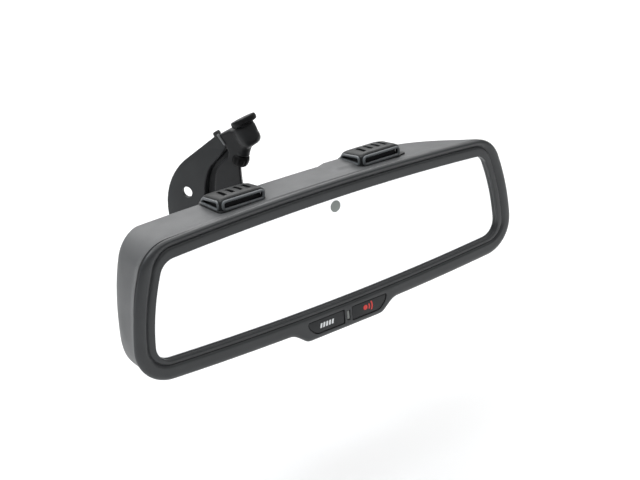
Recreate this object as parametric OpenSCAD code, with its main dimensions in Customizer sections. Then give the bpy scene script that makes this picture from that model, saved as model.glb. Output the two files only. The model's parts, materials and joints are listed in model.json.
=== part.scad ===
// Interior rearview mirror: auto-dimming glass in a two-shell head, two call buttons on a chin,
// two microphone pods on top, and a ball-jointed arm that hangs from a foot on the windshield.
// The origin is the centre of the foot's bonding face. +X runs along the head to the viewer's
// right, +Y points forward to the windshield and +Z is up.

/* [Glass opening] */
// Half the width of the glass opening at mid height
open_w = 118; // [112:1:124]
// Half the height of the glass opening at its middle
open_h = 31; // [28:0.5:34]
// How far the top edge bows upward at the middle
top_bow = 4.2; // [2:0.1:6]
// How far the bottom edge bows downward at the middle
bottom_bow = 3.9; // [2:0.1:6]
// How much wider each side gets, 30 mm below the middle
side_taper = 6.4; // [3:0.1:8]
// How much each side curves in, 30 mm from the middle
side_bulge = 4.0; // [2:0.1:6]
// Corner radius of the glass opening
corner_r = 10; // [8:0.5:12]

/* [Bezel and housing] */
// Width of the bezel at the sides and bottom
side_band = 10.9; // [10:0.1:12]
// Width of the bezel along the top
top_band = 9.6; // [9:0.1:10.5]
// Thickness of the bezel's face
bezel_t = 2.8; // [2.4:0.1:3.2]
// How far the bezel's inner lip covers the glass inside the opening
lip = 0.5; // [0.3:0.1:0.8]
// Wall thickness of the rear housing
wall = 2.2; // [1.8:0.1:2.4]
// Depth of the head, from the bezel's face to the back of the housing
head_depth = 37; // [36:0.5:38]

/* [Ball joint] */
// Radius of the steel ball
ball_r = 8; // [7.8:0.1:8.2]
// Radius of the ball's stem
stem_r = 3.5; // [3:0.1:3.6]
// Distance from the bezel's face back to the centre of the ball
ball_back = 40; // [39.5:0.5:41]
// Radial running clearance between the joint's nested shells
ball_fit = 0.05; // [0.03:0.01:0.08]

/* [Arm] */
// Angle between the arm and the head's straight-ahead direction
arm_yaw = 30; // [25:1:32]
// Horizontal reach from the ball to the foot
foot_reach = 30; // [29:0.5:31]
// Height of the foot above the ball
foot_rise = 67; // [66:0.5:68]
// Slope of the windshield at the foot, from horizontal
rake = 24; // [22:1:26]
// Radius of the cable hole in the wing
wing_hole_r = 3.4; // [3:0.1:3.6]

/* [Buttons and pods] */
// Travel of each button
button_travel = 1.0; // [0.6:0.1:1.0]
// Gap round each button cap
button_gap = 0.3; // [0.25:0.05:0.4]
// Width of a microphone pod
pod_w = 28.6; // [28:0.1:30]
// Depth of a microphone pod
pod_d = 23; // [22:0.5:24]
// Height of a microphone pod
pod_h = 7.6; // [7.4:0.1:8.6]

/* [Hidden] */

// Smoothness of round features
$fn = 48;
// A hair of overlap that keeps cut faces clean
eps = 0.01;
// Gap between fixed pieces that sit in each other
seat = 0.1;

// Where the ball and the head's own origin lie, seen from the foot
ball_at = -[-foot_reach * sin(arm_yaw), foot_reach * cos(arm_yaw), foot_rise];
head_at = ball_at - [0, ball_back, 0];

// Depths of the layers behind the bezel's face
glass_y = bezel_t + 0.1;
pane_t = 1.9;
seal_t = 0.4;
foam_t = 0.9;
carrier_t = 1.8;
seal_y = glass_y + pane_t;
rear_glass_y = seal_y + seal_t;
foam_y = rear_glass_y + pane_t;
carrier_y = foam_y + foam_t;
board_y = carrier_y + carrier_t + 4;
board_t = 1.6;
glass_lap = 3.2;

// The housing's outline lies this far inside the bezel's
housing_step = 1.0;
// The housing's crown starts here, behind its straight rim
crown_y = 10;

// Shells of the ball joint, from the ball outward
liner_in = ball_r + ball_fit;
liner_out = liner_in + 1.5;
cup_in = liner_out + ball_fit;
cup_out = cup_in + 1.5;
socket_in = cup_out + ball_fit;
socket_out = socket_in + 2.8;
// Half angle of the mouth that the stem swings in
mouth = 60;

// Chin under the bezel
chin_x = 24.5;
chin_z = -42.6;
chin_r = 6;
chin_mid = 1.4;
cap_in = 2.9;
cap_out = 28;
cap_top = -36.6;
cap_low = -44.9;
cap_y = 0.5;

// Microphone pods: centre of each and front edge
pod_x = [-53.7, 39.7];
pod_y = 10;

// ---------- outlines ----------

core_w = open_w - corner_r;
core_h = open_h - corner_r;
function unit(v) = v / norm(v);
function core_top(x) = core_h - top_bow * pow(x / open_w, 2);
function core_low(x) = -core_h + bottom_bow * pow(x / open_w, 2);
function core_side(z) = core_w - side_taper * z / 30 - side_bulge * pow(z / 30, 2);
function top_normal(x) = unit([2 * top_bow * x / pow(open_w, 2), 1]);
function low_normal(x) = unit([2 * bottom_bow * x / pow(open_w, 2), -1]);
function side_normal(z) = unit([1, side_taper / 30 + 2 * side_bulge * z / 900]);

// Corners of the core, found by walking between the two curves
function top_corner(n = 4, x = core_w) = n == 0 ? x : top_corner(n - 1, core_side(core_top(x)));
function low_corner(n = 4, x = core_w) = n == 0 ? x : low_corner(n - 1, core_side(core_low(x)));

// Grown outwards by g, a little less along the top
function grown(p, n, g) = p + n * (corner_r + g - (g > 0 ? g * (1 - top_band / side_band) : 0)
                                   * pow(max(0, n[1]), 2));
function heading(n) = atan2(n[1], n[0]);
function corner_arc(p, n1, n2, g, steps = 7) =
    [for (i = [1 : steps - 1])
        let (a = heading(n1) + (heading(n2) - heading(n1)) * i / steps)
        grown(p, [cos(a), sin(a)], g)];
function right_half(g) =
    let (xt = top_corner(), xl = low_corner(), zt = core_top(xt), zl = core_low(xl))
    concat(
        [for (i = [0 : 6]) let (x = xl * i / 6) grown([x, core_low(x)], low_normal(x), g)],
        corner_arc([xl, zl], low_normal(xl), side_normal(zl), g),
        [for (i = [0 : 5]) let (z = zl + (zt - zl) * i / 5)
            grown([core_side(z), z], side_normal(z), g)],
        corner_arc([xt, zt], side_normal(zt), top_normal(xt), g),
        [for (i = [6 : -1 : 0]) let (x = xt * i / 6) grown([x, core_top(x)], top_normal(x), g)]);
function mirrored(half) = [for (i = [len(half) - 2 : -1 : 1]) [-half[i][0], half[i][1]]];
function outline(g) = let (half = right_half(g)) concat(half, mirrored(half));

// The chin's corners are 45 degree arcs that run on as straight flanks
function chin_half(g) = concat(
    [for (i = [0 : 4]) let (a = -90 + 45 * i / 4)
        [chin_x + (chin_r + g) * cos(a), chin_z + (chin_r + g) * sin(a)]],
    [[chin_x + chin_r + 12, chin_z + 6.5 - g * 0.4], [chin_x + chin_r + 12, chin_z + 10]]);
function chin(g) = let (half = chin_half(g))
    concat(half, [for (i = [len(half) - 1 : -1 : 0]) [-half[i][0], half[i][1]]]);

// Draws an X-Z outline as a slab from y = from to y = to
module slab(from, to) {
    translate([0, to, 0]) rotate([90, 0, 0]) linear_extrude(to - from) children();
}
module ring_slab(outer, inner, from, to) {
    difference() {
        slab(from, to) polygon(outline(outer));
        slab(from - 1, to + 1) polygon(outline(inner));
    }
}
module head_shape(g) {
    polygon(outline(side_band + g));
    polygon(chin(g));
}

// Superellipse curve of the housing's back, seen from above or from the side
function crown(half, depth, p, q, steps = 24) =
    [for (i = [0 : steps]) let (a = 180 * i / steps, c = cos(a), s = sin(a))
        [half * sign(c) * pow(abs(c), 2 / p), crown_y + depth * pow(s, 2 / q)]];

// Solid of the housing, smaller by inset on every side
module housing_solid(inset, from) {
    back = head_depth - crown_y - inset;
    shoulder = [76, 28, 37.4];
    difference() {
        intersection() {
            slab(from, head_depth + 1) head_shape(-housing_step - inset);
            translate([0, 0, -60]) linear_extrude(120)
                polygon(concat([[-132 + inset, from], [132 - inset, from]],
                               crown(132 - inset, back, 6, 3.4)));
            rotate([90, 0, 90]) linear_extrude(300, center = true)
                polygon(concat([[from, -48 + inset], [from, 40 - inset]],
                               [for (p = crown(44 - inset, back, 4, 8)) [p[1], p[0] - 3]]));
        }
        translate(shoulder - [0, 0, inset]) rotate([0, 0, 56.3]) rotate([90, 0, 0])
            linear_extrude(300, center = true) polygon([[0, 0], [120, -66], [120, 60], [0, 60]]);
    }
}

// ---------- frames ----------

module at_head() {
    translate(head_at) children();
}
module at_ball() {
    translate(ball_at) children();
}
module at_arm() {
    translate(ball_at) rotate([0, 0, arm_yaw]) children();
}
module at_foot() {
    rotate([0, 0, arm_yaw]) rotate([-rake, 0, 0]) children();
}
// Turns a profile drawn as [radius, distance] about the joint's fore-and-aft axis
module turned(angle = 360) {
    rotate([-90, 0, 0]) rotate_extrude(angle = angle, $fn = 96) children();
}
// An upright plate in the arm's plane, from x = from to x = to
module arm_plate(from, to) {
    translate([from, 0, 0]) rotate([90, 0, 90]) linear_extrude(to - from) children();
}
// A rod along +Y
module rod(r, from, to, x = 0, z = 0) {
    translate([x, from, z]) rotate([-90, 0, 0]) cylinder(r = r, h = to - from);
}
// A block given by its two corners
module block(low, high) {
    translate(low) cube(high - low);
}

// ---------- mount side ----------

foot_r = 7.7;
foot_t = 3.7;
neck_r = 4.2;
neck_l = 1.2;
shank_r = 3;
shank_l = 8;
collar_r = 5;
collar_l = 10;
drum_r = 6.5;
drum_at = [0, 27.1, 55.5];
drum_tilt = -32;
boss_r = 4.9;
boss_at = [0, 30.5, 49.5];
boss_tilt = 26;
boss_l = 11.5;
screw_r = 2;
arm_half = 4;
block_r = 6.5;
block_from = 17;
block_to = 36;
thread_r = 3;

module windshield_foot() {
    color("#4a4c4d") at_foot() {
        translate([0, 0, -foot_t]) cylinder(r = foot_r, h = foot_t);
        translate([0, 0, -foot_t - neck_l]) cylinder(r = neck_r, h = neck_l + eps);
        translate([0, 0, -foot_t - neck_l - shank_l]) cylinder(r = shank_r, h = shank_l + eps);
    }
}

module boss_axis() {
    at_arm() translate(boss_at) rotate([boss_tilt, 0, 0]) children();
}

// Side profile of the cast arm: the post rises from the ball stud's block to the neck
post_profile = [[24, -6], [44, -6], [48, -3.4], [50.6, 5], [51.4, 14], [51.4, 22], [50.6, 28.8],
                [48.9, 35.2], [45.1, 40.4], [40.4, 43.8], [39.4, 47], [41, 50.6], [45.2, 57.3],
                [37, 60.4], [26, 60], [27, 52], [30.5, 47], [32.2, 38], [32.2, 27], [30.5, 16],
                [27, 8], [24, 6]];

module mount_arm() {
    color("#3a3b3d") difference() {
        union() {
            at_foot() translate([0, 0, -foot_t - neck_l - collar_l])
                cylinder(r = collar_r, h = collar_l);
            at_arm() translate(drum_at) rotate([drum_tilt, 0, 0]) translate([0, 0, -5])
                cylinder(r = drum_r, h = 10.5);
            at_arm() arm_plate(-arm_half, arm_half) polygon(post_profile);
            at_arm() rod(block_r, block_from, block_to);
            boss_axis() translate([0, 0, -boss_l]) cylinder(r = boss_r, h = boss_l + 4);
        }
        at_foot() translate([0, 0, -foot_t - neck_l - shank_l - seat])
            cylinder(r = shank_r + seat / 2, h = shank_l + seat + 1);
        boss_axis() translate([0, 0, -boss_l - 1]) cylinder(r = screw_r + seat / 2, h = boss_l + 6.5);
        at_arm() rod(thread_r + seat / 2, block_from - 1, 31);
        at_arm() translate([-10, 42, 6]) rotate([0, 90, 0]) cylinder(r = 1.3, h = 30);
    }
}

module set_screw() {
    color("#8d9092") boss_axis() difference() {
        translate([0, 0, -boss_l + 0.8]) cylinder(r = screw_r, h = boss_l + 2.7);
        translate([0, 0, -boss_l]) cylinder(r = 1.1, h = 3, $fn = 6);
    }
}

module ball_stud() {
    color("#b9bcc0") at_arm() union() {
        sphere(r = ball_r);
        rod(stem_r, 4, block_from);
        rod(thread_r, 6, 30);
    }
}

// Wing: the outer edge runs straight from the collar, then turns down round an arc
wing_arc = [47, 7];
wing_arc_r = 40.5;
wing_t = 2.4;
wing_profile = concat(
    [[41.6, 50.2], [45.6, 56.4], [49.4, 54.9]],
    [for (i = [0 : 10]) let (a = 53.3 * (1 - i / 10))
        wing_arc + wing_arc_r * [cos(a), sin(a)]],
    [for (i = [1 : 6]) let (a = -90 * i / 6) [79.5, -1] + 8 * [cos(a), sin(a)]],
    [[60, -9], [58.6, 2], [59.4, 14], [59.3, 21], [57.6, 28.2], [53.9, 36], [46.6, 43.3]]);
wing_tab = [[44, -2], [60, -9], [58.6, 2], [59.4, 14], [59.3, 21], [57.6, 28.2], [53.9, 36],
            [46.6, 43.3], [43.5, 42.5], [38, 30], [38, 0]];
wing_hole = [71.7, 19.4];

module cable_wing() {
    color("#434547") at_arm() difference() {
        union() {
            arm_plate(-wing_t / 2, wing_t / 2) polygon(wing_profile);
            arm_plate(arm_half + seat, arm_half + 1.7) polygon(wing_tab);
            arm_plate(-wing_t / 2, arm_half + 1.7)
                polygon([[60, -9], [58.6, 2], [59.4, 14], [59.3, 21], [57.6, 28.2], [53.9, 36],
                         [55.2, 36.7], [59, 28.6], [60.8, 21.2], [60.9, 14], [60.1, 2], [61.5, -9]]);
            arm_plate(-arm_half - 1.3, -wing_t / 2 + eps)
                polygon([[45.5, 57.0], [42.1, 52.1], [42.9, 51.5], [46.4, 56.4]]);
            arm_plate(-1.8, 1.8) polygon([[46.2, 56], [47.4, 58.2], [49.6, 57], [49, 54.6]]);
        }
        arm_plate(-10, 10) translate(wing_hole) circle(r = wing_hole_r);
        arm_plate(0, 10) translate([42, 6]) circle(r = 1.7);
    }
}

module wing_screw() {
    color("#9a9da0") at_arm() translate([0, 42, 6]) {
        translate([-3, 0, 0]) rotate([0, 90, 0]) cylinder(r = 1.25, h = 3 + arm_half + 1.7);
        translate([arm_half + 1.7, 0, 0]) rotate([0, 90, 0]) cylinder(r = 3, h = 1.4);
    }
}

// ---------- ball joint ----------

// One shell of the joint: a hollow sphere with a mouth cone towards the arm. Its poles lie fore
// and aft, so the mouth cuts it along a line of latitude.
module ball_shell(inner, outer) {
    rotate([-90, 0, 0]) difference() {
        sphere(r = outer);
        sphere(r = inner);
        mouth_cone(outer + 2);
    }
}
module mouth_cone(reach) {
    cylinder(r1 = 0, r2 = reach * tan(mouth), h = reach);
}

module socket_liner() {
    color("#e8e6df") at_ball() ball_shell(liner_in, liner_out);
}
module friction_cup() {
    color("#9fa3a6") at_ball() ball_shell(cup_in, cup_out);
}

flange_y = 30;
flange_t = 2.4;
flange_r = 21;
flange_hole_r = 1.4;
flange_bolt_r = 18;
housing_mouth_r = 14.9;
module socket_housing() {
    color("#2f3133") at_head() translate([0, ball_back, 0]) rotate([-90, 0, 0]) difference() {
        union() {
            sphere(r = socket_out);
            translate([0, 0, flange_y - ball_back]) cylinder(r = flange_r, h = flange_t);
        }
        sphere(r = socket_in);
        mouth_cone(socket_out + 2);
        for (a = [30, 150, 270])
            translate([flange_bolt_r * cos(a), -flange_bolt_r * sin(a), flange_y - ball_back - 1])
                cylinder(r = flange_hole_r, h = 6);
    }
}
module socket_screws() {
    color("#9a9da0") at_head() for (a = [30, 150, 270]) {
        x = flange_bolt_r * cos(a);
        z = flange_bolt_r * sin(a);
        rod(2.5, flange_y - 1.6, flange_y, x, z);
        rod(1.2, flange_y - eps, flange_y + flange_t + 2.2, x, z);
    }
}
module socket_clip() {
    color("#b9bcc0") at_head() translate([0, ball_back, 0]) rotate([0, 60, 0]) turned(300)
        translate([14.45, 3.2]) circle(r = 0.7, $fn = 24);
}

// ---------- head shells ----------

module boss_ring(r, from, to) {
    for (a = [30, 150, 270])
        rod(r, from, to, flange_bolt_r * cos(a), flange_bolt_r * sin(a));
}

harness_at = [-40, 0, -10];
harness_w = 20;
harness_h = 11;
ambient_x = 34;
ambient_z = 16;
ambient_r = 3.6;
lid_y = head_depth - wall;

module rear_housing() {
    color("#77797a") at_head() difference() {
        union() {
            difference() {
                housing_solid(0, bezel_t + seat);
                housing_solid(wall, bezel_t - 1);
            }
            boss_ring(2.6, flange_y + flange_t + seat, lid_y + 1);
        }
        rod(housing_mouth_r, flange_y + flange_t, head_depth + 2);
        boss_ring(1.25, flange_y, flange_y + flange_t + 2.6);
        block(harness_at + [-harness_w / 2 - seat, lid_y - 3, -harness_h / 2 - seat],
              harness_at + [harness_w / 2 + seat, head_depth + 2, harness_h / 2 + seat]);
        rod(ambient_r + seat, lid_y - 3, head_depth + 2, ambient_x, ambient_z);
        for (x = pod_x) {
            block([x - pod_w / 2 - seat, pod_y - seat, pod_seat(x)],
                  [x + pod_w / 2 + seat, pod_y + pod_d + seat, 45]);
            for (dx = [-7, 7])
                translate([x + dx, pod_y + pod_d / 2, 30]) cylinder(r = 4.3, h = 15);
        }
        block([chin_mid - 30.6, bezel_t - 1, -46.2], [chin_mid + 30.6, skirt_y + 1, -37]);
    }
}

// Button windows: the outer end of each leans in towards the bottom
function cap_shape(grow, low = 1) = [
    [chin_mid + cap_in - grow, cap_top + grow],
    [chin_mid + cap_in - grow, cap_low - low * grow],
    [chin_mid + cap_out - 5.4 + grow, cap_low - low * grow],
    [chin_mid + cap_out - 1 + grow, cap_top - 4],
    [chin_mid + cap_out + grow, cap_top - 1.4],
    [chin_mid + cap_out - 1, cap_top + grow]];
function left_cap_shape(grow, low = 1) = [for (p = cap_shape(grow, low))
    [2 * chin_mid - p[0], p[1]]];

skirt_in = 3.6;
skirt_out = side_band - housing_step - wall - 0.2;
skirt_y = 9;
pipe_half = 0.9;
pipe_low = -43.4;
pipe_top = -38;
module front_bezel() {
    color("#47494b") at_head() difference() {
        union() {
            slab(0, bezel_t) head_shape(0);
            ring_slab(skirt_out, skirt_in, bezel_t - eps, skirt_y);
        }
        slab(-1, bezel_t + 1) polygon(outline(-lip));
        slab(-1, skirt_y + 1) polygon(cap_shape(button_gap));
        slab(-1, skirt_y + 1) polygon(left_cap_shape(button_gap));
        block([-30, bezel_t, -60], [33, skirt_y + 1, -33]);
        block([chin_mid - pipe_half - seat, -1, pipe_low - seat],
              [chin_mid + pipe_half + seat, 5, pipe_top + seat]);
    }
}

// ---------- glass ----------

sensor_z = 25;
sensor_r = 3.35;
module front_glass() {
    color("#dfe7ea", 0.5) at_head()
        slab(glass_y, glass_y + pane_t) polygon(outline(glass_lap));
}
module edge_seal() {
    color("#b9bdb8") at_head()
        ring_slab(1.9, 0.6, seal_y, seal_y + seal_t);
}
module rear_glass() {
    color("#c9d0d4") at_head() difference() {
        slab(rear_glass_y, rear_glass_y + pane_t) polygon(outline(glass_lap - 0.2));
        rod(sensor_r + seat, rear_glass_y - 1, rear_glass_y + 3, 0, sensor_z);
    }
}
module glass_clips() {
    color("#b48a4a") at_head() for (s = [-1, 1]) intersection() {
        ring_slab(glass_lap - 0.2, 2.05, seal_y + 0.05, seal_y + seal_t - 0.05);
        block([s * 60 - 20, 0, s < 0 ? -40 : 0], [s * 60 + 20, 20, s < 0 ? 0 : 40]);
    }
}
module glare_sensor() {
    color("#8f968c") at_head() {
        rod(sensor_r, seal_y + 0.05, foam_y + foam_t + carrier_t, 0, sensor_z);
        block([-3, foam_y + foam_t + carrier_t - eps, sensor_z - 3], [3, board_y, sensor_z + 1]);
    }
}
module foam_pad() {
    color("#2a2a2a") at_head() difference() {
        slab(foam_y, foam_y + foam_t) polygon(outline(glass_lap - 4));
        rod(sensor_r + 1, foam_y - 1, foam_y + 3, 0, sensor_z);
    }
}

// ---------- carrier and electronics ----------

board_w = 66;
board_low = -24;
board_high = 27;
post_holes = [[-60, -18], [60, -18], [-60, 20], [60, 20]];
module carrier_plate() {
    color("#3c3e40") at_head() difference() {
        slab(carrier_y, carrier_y + carrier_t) polygon(outline(glass_lap));
        rod(sensor_r + 0.3, carrier_y - 1, carrier_y + 3, 0, sensor_z);
        for (p = post_holes) rod(1.6, carrier_y - 1, carrier_y + 3, p[0], p[1]);
    }
}
module board_posts() {
    color("#55585a") at_head() for (p = post_holes) difference() {
        union() {
            rod(1.5, carrier_y, carrier_y + carrier_t + 0.5, p[0], p[1]);
            rod(3, carrier_y + carrier_t, board_y, p[0], p[1]);
        }
        rod(1.05, carrier_y + 1, board_y + 1, p[0], p[1]);
    }
}
module main_board() {
    color("#1f5a3a") at_head() difference() {
        block([-board_w, board_y, board_low], [board_w, board_y + board_t, board_high]);
        for (p = post_holes) rod(1.3, board_y - 1, board_y + 3, p[0], p[1]);
    }
}
chip_y = board_y + board_t;
module board_chips() {
    color("#202224") at_head() {
        block([-50, chip_y, 1], [-36, chip_y + 1.6, 14]);
        block([-28, chip_y, 8], [-18, chip_y + 1.8, 15]);
        block([24, chip_y, -18], [36, chip_y + 2, -8]);
        block([42, chip_y, -4], [50, chip_y + 1.4, 4]);
        for (x = [-8, 0, 8]) rod(2.4, chip_y, chip_y + 6, x, -18);
    }
}
module board_screws() {
    color("#9a9da0") at_head() for (p = post_holes) {
        rod(2.3, chip_y, chip_y + 1.4, p[0], p[1]);
        rod(1, board_y - 3.5, chip_y + eps, p[0], p[1]);
    }
}
module ambient_sensor() {
    color("#202224") at_head() {
        rod(2.6, chip_y, lid_y - 4, ambient_x, ambient_z);
    }
}
module ambient_lens() {
    color("#3a2f2f") at_head() {
        rod(ambient_r, lid_y - 1.2, head_depth + 0.6, ambient_x, ambient_z);
        rod(ambient_r + 1.2, lid_y - 3.4, lid_y - 1.1, ambient_x, ambient_z);
    }
}
module harness_socket() {
    w = harness_w / 2;
    h = harness_h / 2;
    color("#1d1e20") at_head() difference() {
        block(harness_at + [-w, chip_y, -h], harness_at + [w, head_depth + 1.5, h]);
        block(harness_at + [-w + 1.4, head_depth - 8.5, -h + 1.4],
              harness_at + [w - 1.4, head_depth + 3, h - 1.4]);
        for (i = [0 : 5])
            block(harness_at + [-6.25 + i * 2.5 - 0.45, chip_y - 1, -0.45],
                  harness_at + [-6.25 + i * 2.5 + 0.45, head_depth, 0.45]);
    }
}
module harness_pins() {
    color("#c9a24a") at_head() for (i = [0 : 5])
        block(harness_at + [-6.25 + i * 2.5 - 0.35, chip_y, -0.35],
              harness_at + [-6.25 + i * 2.5 + 0.35, head_depth - 3, 0.35]);
}

// ---------- microphone pods ----------

// Height of the housing's deck at x, and of the flat seat that a pod stands on
function deck(x) = open_h + (side_band - housing_step) * top_band / side_band
    - top_bow * pow(x / open_w, 2);
function pod_seat(x) = deck(abs(x) + pod_w / 2) - 0.05;

pod_wall = 1.6;
function pod_side(w, h, r) = concat(
    [[-w, 0], [w, 0]],
    [for (i = [0 : 4]) let (a = 90 * i / 4) [w - r + r * cos(a), h - r + r * sin(a)]],
    [for (i = [0 : 4]) let (a = 90 + 90 * i / 4) [-w + r + r * cos(a), h - r + r * sin(a)]]);
// A pod rises from its own base plane and slopes down to the back
module pod(x) {
    translate([x, pod_y, pod_seat(x)]) difference() {
        pod_solid(0);
        pod_solid(pod_wall);
        // front window, end windows and the four slots in the roof
        block([-pod_w / 2 + 2.1, -2, 1.7], [pod_w / 2 - 2.1, 3, pod_h - 2.3]);
        block([-pod_w / 2 - 2, 2.9, 1.7], [pod_w / 2 + 2, pod_d - 5, pod_h - 3.4]);
        for (i = [0 : 3])
            translate([-8 + i * 5, 5.5, pod_h - 3]) rotate([0, 0, -4])
                block([-0.85, 0, 0], [0.85, 5.8, 6]);
    }
}
module pod_solid(inset) {
    intersection() {
        translate([0, pod_d - inset, 0]) rotate([90, 0, 0]) linear_extrude(pod_d - 2 * inset)
            polygon(pod_side(pod_w / 2 - inset, pod_h - inset, 3.4 - inset / 2));
        rotate([90, 0, 90]) linear_extrude(pod_w + 2, center = true)
            polygon([[inset, -1], [inset, pod_h - 3 - inset / 2], [2.6 + inset, pod_h - inset],
                     [13.5, pod_h - inset], [pod_d - 3, pod_h - 3 - inset],
                     [pod_d - inset, 1.8], [pod_d - inset, -1]]);
    }
}
module pod_mesh(x) {
    translate([x, pod_y, pod_seat(x)]) difference() {
        pod_solid(pod_wall + 0.15);
        pod_solid(pod_wall + 0.75);
    }
}
mic_r = 3;
module microphone(x, seat_z) {
    translate([x, pod_y + pod_d / 2, seat_z + 1]) cylinder(r = mic_r, h = 3.4);
}
module mic_boot(x, seat_z) {
    translate([x, pod_y + pod_d / 2, seat_z - 5.6]) difference() {
        cylinder(r = 4.1, h = 9.4);
        translate([0, 0, 6.6 - seat]) cylinder(r = mic_r + 0.05, h = 5);
    }
}

module pod_left() {
    color("#4d5052") at_head() pod(pod_x[0]);
}
module pod_right() {
    color("#4d5052") at_head() pod(pod_x[1]);
}
module pod_mesh_left() {
    color("#26282a") at_head() pod_mesh(pod_x[0]);
}
module pod_mesh_right() {
    color("#26282a") at_head() pod_mesh(pod_x[1]);
}
module microphone_left() {
    color("#b9bcc0") at_head() for (dx = [-7, 7]) microphone(pod_x[0] + dx, pod_seat(pod_x[0]));
}
module microphone_right() {
    color("#b9bcc0") at_head() for (dx = [-7, 7]) microphone(pod_x[1] + dx, pod_seat(pod_x[1]));
}
module mic_boot_left() {
    color("#1b1c1d") at_head() for (dx = [-7, 7]) mic_boot(pod_x[0] + dx, pod_seat(pod_x[0]));
}
module mic_boot_right() {
    color("#1b1c1d") at_head() for (dx = [-7, 7]) mic_boot(pod_x[1] + dx, pod_seat(pod_x[1]));
}

// ---------- buttons ----------

flange_front = bezel_t + seat;
cap_back = flange_front + 1.2;
dome_y = cap_back + button_travel + 0.15;
mat_y = dome_y + 1.6;
mat_t = 0.8;
module cap(shape, rim) {
    slab(cap_y, flange_front + eps) polygon(shape);
    slab(flange_front, cap_back) polygon(rim);
}
module button_left() {
    color("#2b2d2f") at_head() cap(left_cap_shape(0), left_cap_shape(button_gap + 0.5, 0));
}
module button_right() {
    color("#2b2d2f") at_head() cap(cap_shape(0), cap_shape(button_gap + 0.5, 0));
}
module switch_mat() {
    color("#6b6f72") at_head() difference() {
        union() {
            block([-26, mat_y, -44.4], [29, mat_y + mat_t, -36.5]);
            for (x = [chin_mid - 15.5, chin_mid + 15.5])
                translate([x, mat_y + eps, -40.8]) rotate([90, 0, 0])
                    cylinder(r1 = 3, r2 = 2, h = mat_y - dome_y);
        }
        block([chin_mid - 1.6, mat_y - 1, -44], [chin_mid + 1.6, mat_y + 3, -37.4]);
    }
}
module button_board() {
    color("#1f5a3a") at_head()
        block([-26, mat_y + mat_t, -44.4], [29, mat_y + mat_t + 1.2, -36.5]);
}
module light_pipe() {
    color("#c9cfd2") at_head()
        block([chin_mid - pipe_half, 0.1, pipe_low], [chin_mid + pipe_half, mat_y - 0.3, pipe_top]);
}
module indicator_led() {
    color("#f0efe6") at_head()
        block([chin_mid - 0.8, mat_y - 0.1, -42], [chin_mid + 0.8, mat_y + mat_t, -40.4]);
}

windshield_foot();
mount_arm();
set_screw();
ball_stud();
cable_wing();
wing_screw();
socket_liner();
friction_cup();
rear_housing();
front_bezel();
front_glass();
edge_seal();
rear_glass();
glass_clips();
foam_pad();
carrier_plate();
board_posts();
main_board();
board_chips();
board_screws();
glare_sensor();
ambient_sensor();
ambient_lens();
socket_housing();
socket_screws();
socket_clip();
harness_socket();
harness_pins();
pod_left();
pod_right();
pod_mesh_left();
pod_mesh_right();
microphone_left();
microphone_right();
mic_boot_left();
mic_boot_right();
button_left();
button_right();
switch_mat();
button_board();
light_pipe();
indicator_led();
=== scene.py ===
"""Looks of the interior rearview mirror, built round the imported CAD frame.

Shapes are worked out in millimetres in three local frames and placed by the CAD's own positions:
  head  x right, y back from the bezel's face, z up, from the centre of the glass opening
  arm   x across, y forward along the arm, z up, from the centre of the ball
  foot  z along the windshield's normal, from the centre of the bonding face
"""

import json
import math

import bmesh
import bpy
from mathutils import Matrix, Vector


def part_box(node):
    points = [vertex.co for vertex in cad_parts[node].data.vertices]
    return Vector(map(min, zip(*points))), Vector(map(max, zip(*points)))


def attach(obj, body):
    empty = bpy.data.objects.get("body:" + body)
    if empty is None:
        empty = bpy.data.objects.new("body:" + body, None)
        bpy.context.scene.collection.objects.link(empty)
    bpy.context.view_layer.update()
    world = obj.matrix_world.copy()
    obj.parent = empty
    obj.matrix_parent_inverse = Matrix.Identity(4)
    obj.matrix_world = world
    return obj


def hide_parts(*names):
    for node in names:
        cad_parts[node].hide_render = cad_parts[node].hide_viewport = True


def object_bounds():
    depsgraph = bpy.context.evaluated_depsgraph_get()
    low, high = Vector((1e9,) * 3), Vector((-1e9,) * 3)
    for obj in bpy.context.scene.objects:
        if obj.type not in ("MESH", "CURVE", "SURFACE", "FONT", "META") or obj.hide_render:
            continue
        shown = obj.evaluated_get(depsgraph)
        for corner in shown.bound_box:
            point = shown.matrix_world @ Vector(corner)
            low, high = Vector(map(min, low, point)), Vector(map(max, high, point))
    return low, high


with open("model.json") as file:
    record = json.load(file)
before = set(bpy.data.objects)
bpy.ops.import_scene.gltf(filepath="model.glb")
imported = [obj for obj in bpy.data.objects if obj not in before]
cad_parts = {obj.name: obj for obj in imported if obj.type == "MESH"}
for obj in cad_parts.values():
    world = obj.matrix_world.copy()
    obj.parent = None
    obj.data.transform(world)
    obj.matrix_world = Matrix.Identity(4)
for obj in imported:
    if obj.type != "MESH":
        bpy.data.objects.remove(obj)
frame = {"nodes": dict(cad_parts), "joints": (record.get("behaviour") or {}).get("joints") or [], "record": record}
cad_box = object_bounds()

MM = 0.001

# ---------------------------------------------------------------- places, from the frame

BALL = Vector(next(j for j in frame["joints"] if j["name"] == "head_yaw")["pos_m"])
HEAD = Vector((BALL.x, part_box("front_bezel")[0].y, BALL.z))
ARM_YAW = math.radians(30)
RAKE = math.radians(24)

HEAD_FRAME = Matrix.Translation(HEAD) @ Matrix.Scale(MM, 4)
ARM_FRAME = Matrix.Translation(BALL) @ Matrix.Rotation(ARM_YAW, 4, "Z") @ Matrix.Scale(MM, 4)
FOOT_FRAME = (
    Matrix.Rotation(ARM_YAW, 4, "Z") @ Matrix.Rotation(-RAKE, 4, "X") @ Matrix.Scale(MM, 4)
)
# The foot's centre, seen from the ball in the arm's frame
FOOT_IN_ARM = ARM_FRAME.inverted() @ Vector((0, 0, 0))
ARM_FROM_FOOT = ARM_FRAME.inverted() @ FOOT_FRAME

# ---------------------------------------------------------------- driving dimensions, mm

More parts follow.
